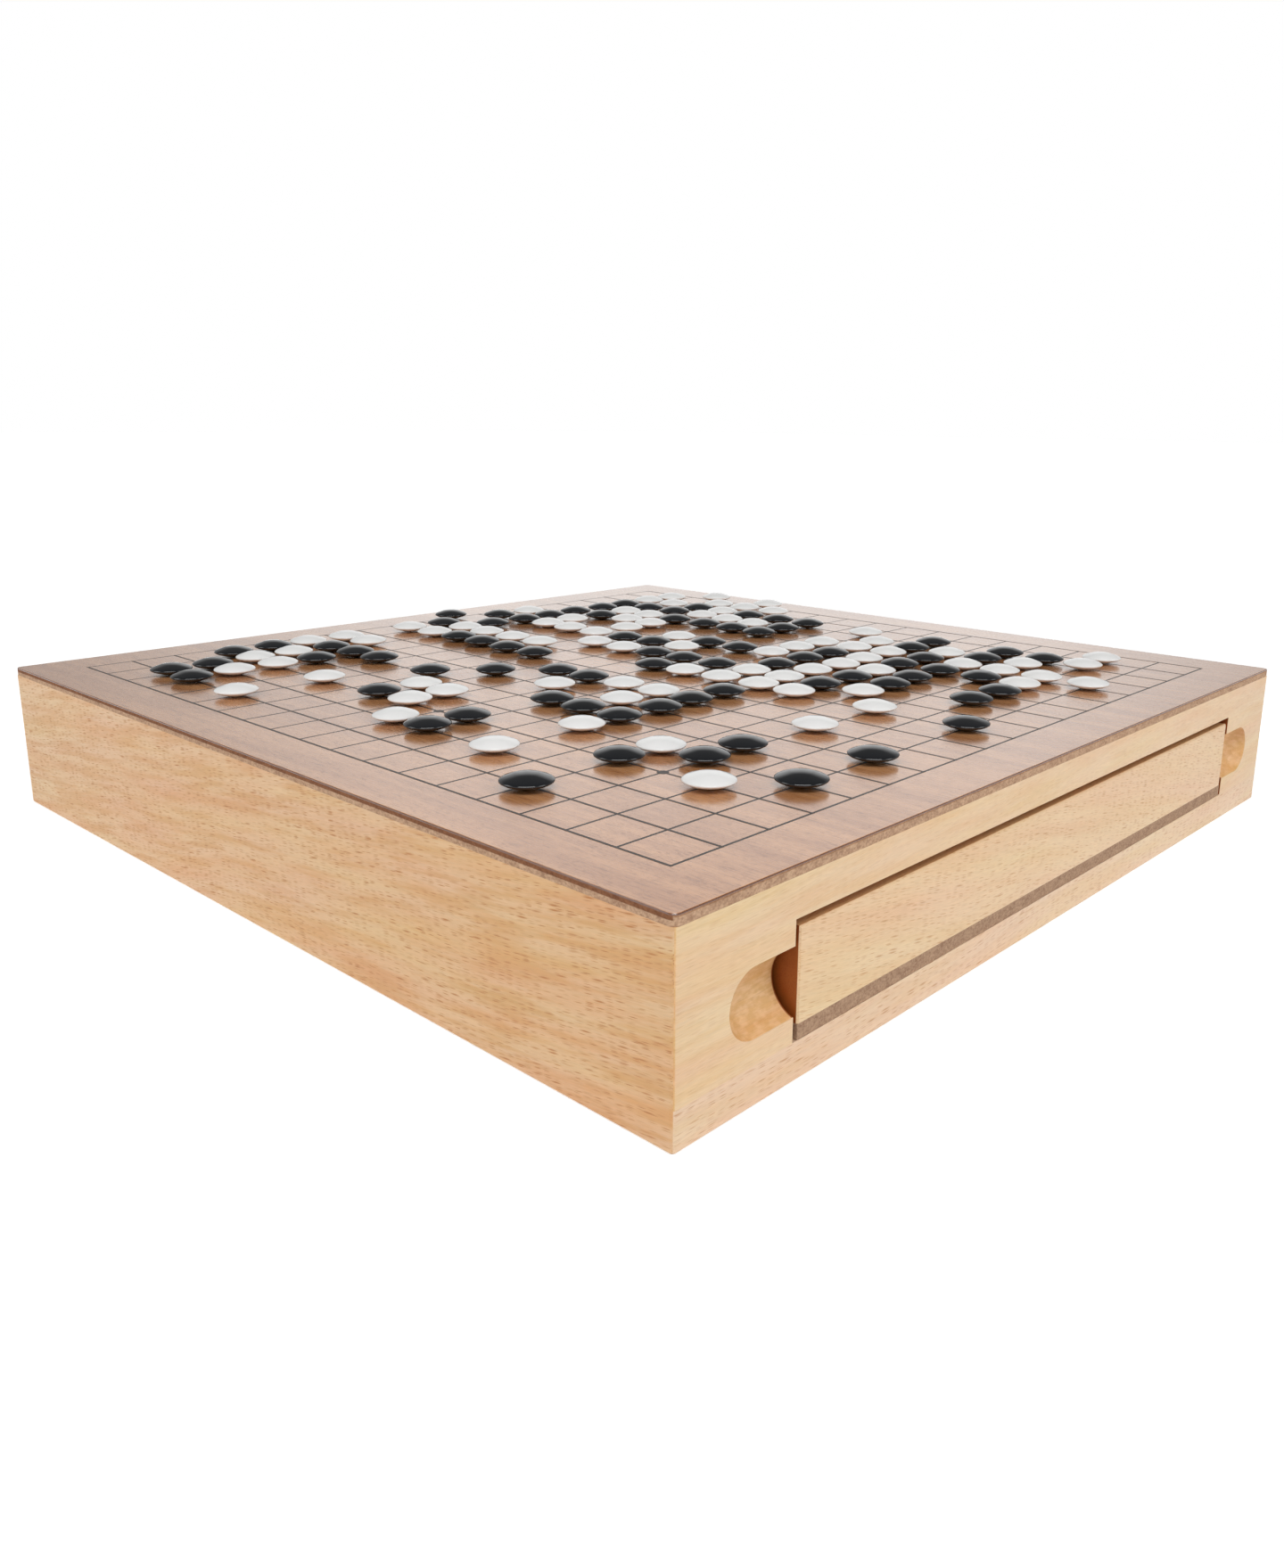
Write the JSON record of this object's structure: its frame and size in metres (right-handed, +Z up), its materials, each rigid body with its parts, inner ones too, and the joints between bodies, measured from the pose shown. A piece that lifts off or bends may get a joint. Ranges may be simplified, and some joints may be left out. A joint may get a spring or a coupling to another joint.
{
  "type": "go board with stone drawers",
  "caption": "Square wooden go board on a box-shaped case, with stone drawers that slide out at opposite sides, finger scoops beside the drawers and a game of black and white stones on top.",
  "frame": {"origin": "centre of the case on the standing face", "axes": "+Z up; the front drawer opens along -Y and the rear drawer along +Y; +X is to the right seen from the front"},
  "size_m": [0.45, 0.45, 0.0758],
  "materials": {
    "beech": "satin",
    "pale_beech": "satin",
    "inner_wood": "matte",
    "top_veneer": "satin",
    "fibreboard": "matte",
    "line_ink": "satin",
    "black_stone": "gloss",
    "white_stone": "gloss"
  },
  "bodies": {
    "case": {"top_core": "fibreboard", "playing_veneer": "top_veneer", "cross_lines": "line_ink", "long_lines": "line_ink", "front_wall": "beech", "front_lower_rail": "pale_beech", "rear_wall": "beech", "rear_lower_rail": "pale_beech", "left_wall": "beech", "right_wall": "beech", "base_panel": "fibreboard", "left_runner": "inner_wood", "right_runner": "inner_wood", "left_guide": "inner_wood", "right_guide": "inner_wood", "centre_divider": "inner_wood"},
    "front_drawer": {"front_drawer_face": "beech", "front_drawer_bottom": "fibreboard", "front_drawer_left_side": "inner_wood", "front_drawer_right_side": "inner_wood", "front_drawer_back": "inner_wood"},
    "rear_drawer": {"rear_drawer_face": "beech", "rear_drawer_bottom": "fibreboard", "rear_drawer_left_side": "inner_wood", "rear_drawer_right_side": "inner_wood", "rear_drawer_back": "inner_wood"},
    "black_stones": {"black_stones": "black_stone"},
    "white_stones": {"white_stones": "white_stone"}
  },
  "joints": [
    {"name": "front_drawer_slide", "type": "slide", "parent": "case", "child": "front_drawer", "axis": [0, -1, 0], "range_m": [0, 0.19]},
    {"name": "rear_drawer_slide", "type": "slide", "parent": "case", "child": "rear_drawer", "axis": [0, 1, 0], "range_m": [0, 0.19]},
    {"name": "black_stones_lift", "type": "slide", "parent": "case", "child": "black_stones", "axis": [0, 0, 1], "range_m": [0, 0.04]},
    {"name": "white_stones_lift", "type": "slide", "parent": "case", "child": "white_stones", "axis": [0, 0, 1], "range_m": [0, 0.04]}
  ]
}
